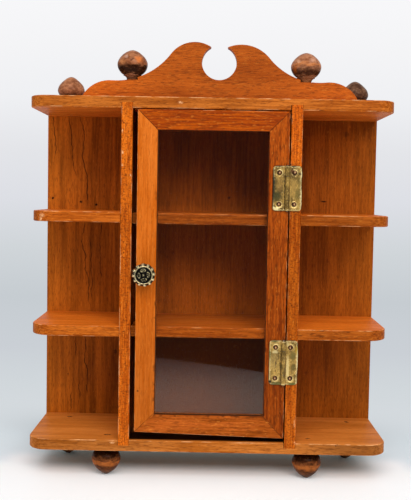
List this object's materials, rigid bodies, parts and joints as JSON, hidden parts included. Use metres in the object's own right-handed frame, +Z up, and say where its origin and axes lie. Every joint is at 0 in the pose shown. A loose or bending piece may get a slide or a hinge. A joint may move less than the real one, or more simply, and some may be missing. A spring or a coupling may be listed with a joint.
{
  "type": "thimble display case",
  "caption": "Wooden curio case for thimbles: open shelves on both sides of a glazed, hinged door, with turned feet, turned finials and a broken swan-neck pediment.",
  "frame": {"origin": "on the ground under the middle of the case: bottom centre of its outer box", "axes": "+Z up through the finials, +Y to the back panel so that the door faces -Y, +X to the hinge side"},
  "size_m": [0.2032, 0.0722, 0.2451],
  "materials": {
    "case_wood": "glossy lacquered mahogany, orange brown",
    "door_wood": "glossy lacquered mahogany, a little lighter than the case",
    "panel_veneer": "satin lacquered dark red-brown veneer with upright grain",
    "retaining_strips": "plain stained softwood",
    "dark_turnings": "glossy dark walnut stain",
    "glass": "clear float glass",
    "hinge_brass": "aged brass plate, tarnished at the edges",
    "hinge_pins": "dull steel wire",
    "hinge_nails": "dark coppery nail heads, worn pale in the middle",
    "antique_brass": "antique brass, blackened in the hollows and bright on the high points",
    "steel_fixings": "plain steel, slightly dulled"
  },
  "bodies": {
    "case": {"back_panel": "panel_veneer", "back_panel_brads": "steel_fixings", "bottom_board": "case_wood", "foot_nails": "steel_fixings", "front_finial_pins": "steel_fixings", "front_left_finial": "dark_turnings", "front_left_foot": "dark_turnings", "front_right_finial": "dark_turnings", "front_right_foot": "dark_turnings", "left_upright": "case_wood", "lower_centre_shelf": "case_wood", "lower_hinge_frame_leaf": "hinge_brass", "lower_hinge_frame_nails": "hinge_nails", "lower_hinge_pin": "hinge_pins", "lower_left_shelf": "case_wood", "lower_right_shelf": "case_wood", "pediment": "case_wood", "pediment_brads": "steel_fixings", "rear_finial_nails": "steel_fixings", "rear_left_finial": "dark_turnings", "rear_left_foot": "dark_turnings", "rear_right_finial": "dark_turnings", "rear_right_foot": "dark_turnings", "right_upright": "case_wood", "top_board": "case_wood", "upper_centre_shelf": "case_wood", "upper_hinge_frame_leaf": "hinge_brass", "upper_hinge_frame_nails": "hinge_nails", "upper_hinge_pin": "hinge_pins", "upper_left_shelf": "case_wood", "upper_right_shelf": "case_wood"},
    "door": {"door_bottom_rail": "door_wood", "door_corner_brads": "steel_fixings", "door_glass": "glass", "door_knob": "antique_brass", "door_left_stile": "door_wood", "door_right_stile": "door_wood", "door_top_rail": "door_wood", "glass_strip_bottom": "retaining_strips", "glass_strip_left": "retaining_strips", "glass_strip_right": "retaining_strips", "glass_strip_top": "retaining_strips", "knob_screw": "steel_fixings", "lower_hinge_door_leaf": "hinge_brass", "lower_hinge_door_nails": "hinge_nails", "upper_hinge_door_leaf": "hinge_brass", "upper_hinge_door_nails": "hinge_nails"}
  },
  "joints": [
    {"name": "door_hinge", "type": "hinge", "parent": "case", "child": "door", "pos_m": [0.042, -0.0283, 0.117], "axis": [0, 0, 1], "range_deg": [0, 170]}
  ]
}
